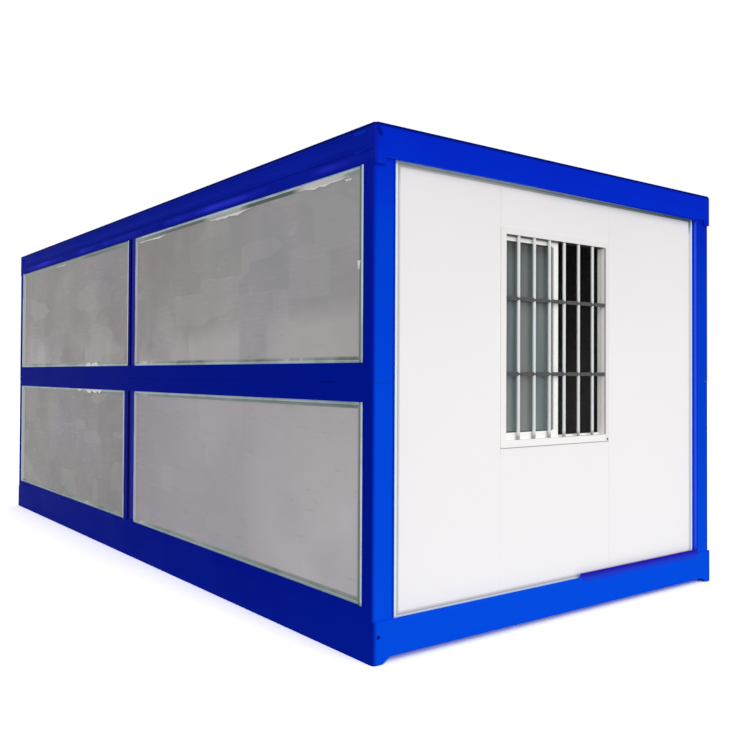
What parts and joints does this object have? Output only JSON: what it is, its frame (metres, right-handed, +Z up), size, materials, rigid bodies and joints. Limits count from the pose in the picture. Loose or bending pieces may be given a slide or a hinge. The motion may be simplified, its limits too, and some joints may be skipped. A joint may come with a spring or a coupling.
{
  "type": "folding container house",
  "caption": "Flat-fold site cabin: steel base and roof frames, side walls hinged at mid height, white infill panels, a barred sliding window and end walls that swing up under the roof.",
  "frame": {"origin": "middle of the footprint at ground level", "axes": "X along the length toward the window end, Y across the width, Z up"},
  "size_m": [5.95, 2.58, 2.41],
  "materials": {
    "frame_blue": "gloss blue enamel on rolled steel",
    "panel_white": "smooth white coated panel",
    "bead_grey": "dull folded strip",
    "window_white": "white powder coat",
    "glass": "clear float glass, faintly green",
    "bar_steel": "satin tube",
    "bar_dark": "dull dark grey flat bar",
    "hinge_steel": "zinc coated",
    "floor_wood": "sealed board",
    "roof_steel": "coated ribbed sheet",
    "underframe": "matt primer",
    "door_white": "smooth white enamel"
  },
  "bodies": {
    "house": {"base_corner_blocks": "frame_blue", "base_side_beams": "frame_blue", "base_end_beams": "frame_blue", "floor_joists": "underframe", "floor_board": "floor_wood", "left_lower_frame": "frame_blue", "left_upper_frame": "frame_blue", "right_lower_frame": "frame_blue", "right_upper_frame": "frame_blue", "left_lower_panels": "panel_white", "left_upper_panels": "panel_white", "right_lower_panels": "panel_white", "right_upper_panels": "panel_white", "left_post_faces": "frame_blue", "right_post_faces": "frame_blue", "left_beads": "bead_grey", "right_beads": "bead_grey", "foot_hinges": "hinge_steel", "fold_hinges": "frame_blue", "head_hinges": "hinge_steel", "roof_side_beams": "frame_blue", "roof_end_beams": "frame_blue", "roof_corner_blocks": "frame_blue", "roof_purlins": "hinge_steel", "roof_sheet": "roof_steel", "ceiling_panel": "panel_white", "window_end_lugs": "hinge_steel", "door_end_lugs": "hinge_steel"},
    "window_end_wall": {"window_wall_frame": "frame_blue", "window_wall_panels": "panel_white", "window_wall_bead": "bead_grey", "window_wall_barrels": "hinge_steel", "window_frame": "window_white", "window_sashes": "window_white", "window_glass": "glass", "window_bars": "bar_steel", "window_cross_bars": "bar_dark"},
    "door_end_wall": {"door_wall_frame": "frame_blue", "door_wall_panels": "panel_white", "door_wall_bead": "bead_grey", "door_wall_barrels": "hinge_steel", "door_frame": "frame_blue", "door_leaf": "door_white", "door_handle": "hinge_steel"}
  },
  "joints": [
    {"name": "window_wall_swing", "type": "hinge", "parent": "house", "child": "window_end_wall", "pos_m": [2.864, 0, 2.335], "axis": [0, 1, 0], "range_deg": [0, 90]},
    {"name": "door_wall_swing", "type": "hinge", "parent": "house", "child": "door_end_wall", "pos_m": [-2.864, 0, 2.335], "axis": [0, -1, 0], "range_deg": [0, 90]}
  ]
}
